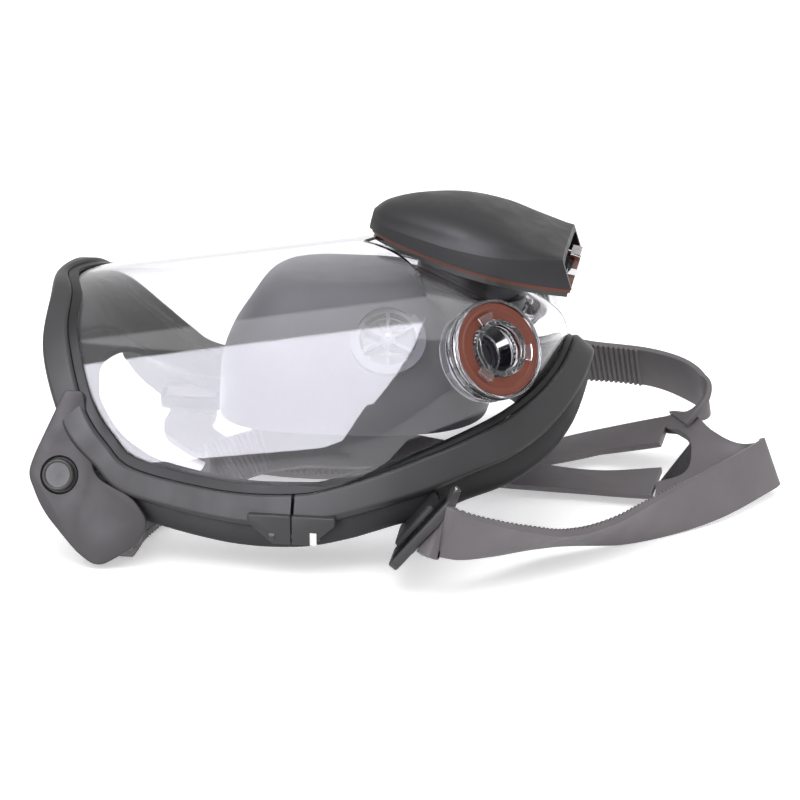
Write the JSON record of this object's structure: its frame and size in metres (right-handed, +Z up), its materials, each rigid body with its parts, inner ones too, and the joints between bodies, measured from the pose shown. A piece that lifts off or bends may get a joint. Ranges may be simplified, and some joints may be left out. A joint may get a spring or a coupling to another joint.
{
  "type": "full face respirator",
  "caption": "Full face respirator with a clear wrap-round lens, twin bayonet filter ports, an exhalation cover, a nose cup and a head harness.",
  "frame": {"origin": "under the middle of the face opening, on the surface that the mask lies on", "axes": "+X from the forehead to the chin, +Y to the wearer's left, +Z up, out of the front of the mask"},
  "size_m": [0.2787, 0.1899, 0.1227],
  "materials": {
    "lens_clear": "polished clear polycarbonate with a faint violet tint",
    "clear_plastic": "moulded clear plastic",
    "frame_plastic": "dark grey satin moulded plastic",
    "tab_plastic": "dark grey fine-grained moulding",
    "black_plastic": "black moulded plastic",
    "seal_rubber": "matte black thermoplastic rubber",
    "cup_rubber": "matte mid-grey rubber",
    "gasket_rubber": "red-brown silicone rubber",
    "harness_rubber": "warm grey ribbed rubber",
    "steel": "bright drawn wire"
  },
  "bodies": {
    "root": {"lens": "lens_clear", "lens_frame_upper": "frame_plastic", "lens_frame_lower": "frame_plastic", "frame_screws": "black_plastic", "frame_nuts": "steel", "face_seal": "seal_rubber", "temple_tab_right": "tab_plastic", "temple_tab_left": "tab_plastic", "temple_keeper_right": "black_plastic", "temple_keeper_left": "black_plastic", "nose_cup": "cup_rubber", "check_valve_seat_right": "cup_rubber", "check_valve_seat_left": "cup_rubber", "port_right": "clear_plastic", "port_left": "clear_plastic", "port_gasket_right": "gasket_rubber", "port_gasket_left": "gasket_rubber", "inhalation_seat_right": "cup_rubber", "inhalation_seat_left": "cup_rubber", "centre_adapter": "black_plastic", "adapter_nut": "black_plastic", "exhalation_seat": "cup_rubber", "cover_base": "black_plastic", "cover_gasket": "gasket_rubber", "buckle_lug_right": "seal_rubber", "buckle_lug_left": "seal_rubber", "crown_plate": "harness_rubber", "strap_lower_right": "harness_rubber", "strap_lower_left": "harness_rubber", "strap_upper_right": "harness_rubber", "strap_upper_left": "harness_rubber"},
    "temple_button_right": {"temple_button_right": "black_plastic"},
    "check_valve_right": {"check_valve_disc_right": "clear_plastic"},
    "inhalation_valve_right": {"inhalation_disc_right": "black_plastic"},
    "buckle_right": {"buckle_frame_right": "tab_plastic", "buckle_wire_right": "steel", "buckle_pin_right": "steel"},
    "temple_button_left": {"temple_button_left": "black_plastic"},
    "check_valve_left": {"check_valve_disc_left": "clear_plastic"},
    "inhalation_valve_left": {"inhalation_disc_left": "black_plastic"},
    "buckle_left": {"buckle_frame_left": "tab_plastic", "buckle_wire_left": "steel", "buckle_pin_left": "steel"},
    "exhalation_valve": {"exhalation_disc": "gasket_rubber"},
    "cover": {"exhalation_cover": "frame_plastic", "cover_latch": "clear_plastic"}
  },
  "joints": [
    {"name": "temple_button_right_press", "type": "slide", "parent": "root", "child": "temple_button_right", "axis": [0, 0.9285, -0.3714], "range_m": [0, 0.0008], "stiffness_N_per_m": 400},
    {"name": "check_valve_right_lift", "type": "slide", "parent": "root", "child": "check_valve_right", "axis": [-0.1005, 0.7233, -0.6831], "range_m": [0, 0.001], "stiffness_N_per_m": 60},
    {"name": "inhalation_valve_right_lift", "type": "slide", "parent": "root", "child": "inhalation_valve_right", "axis": [-0.6096, 0.6596, -0.4397], "range_m": [0, 0.001], "stiffness_N_per_m": 60},
    {"name": "buckle_right_hinge", "type": "hinge", "parent": "root", "child": "buckle_right", "pos_m": [0.055, -0.079, 0.025], "axis": [0.6428, 0, 0.766], "range_deg": [-30, 12]},
    {"name": "temple_button_left_press", "type": "slide", "parent": "root", "child": "temple_button_left", "axis": [0, -0.9285, -0.3714], "range_m": [0, 0.0008], "stiffness_N_per_m": 400},
    {"name": "check_valve_left_lift", "type": "slide", "parent": "root", "child": "check_valve_left", "axis": [-0.1005, -0.7233, -0.6831], "range_m": [0, 0.001], "stiffness_N_per_m": 60},
    {"name": "inhalation_valve_left_lift", "type": "slide", "parent": "root", "child": "inhalation_valve_left", "axis": [-0.6096, -0.6596, -0.4397], "range_m": [0, 0.001], "stiffness_N_per_m": 60},
    {"name": "buckle_left_hinge", "type": "hinge", "parent": "root", "child": "buckle_left", "pos_m": [0.055, 0.079, 0.025], "axis": [0.6428, 0, 0.766], "range_deg": [-12, 30]},
    {"name": "exhalation_valve_lift", "type": "slide", "parent": "root", "child": "exhalation_valve", "axis": [0.1908, 0, 0.9816], "range_m": [0, 0.001], "stiffness_N_per_m": 60},
    {"name": "cover_lift_off", "type": "slide", "parent": "root", "child": "cover", "axis": [0.1908, 0, 0.9816], "range_m": [0, 0.012]}
  ]
}
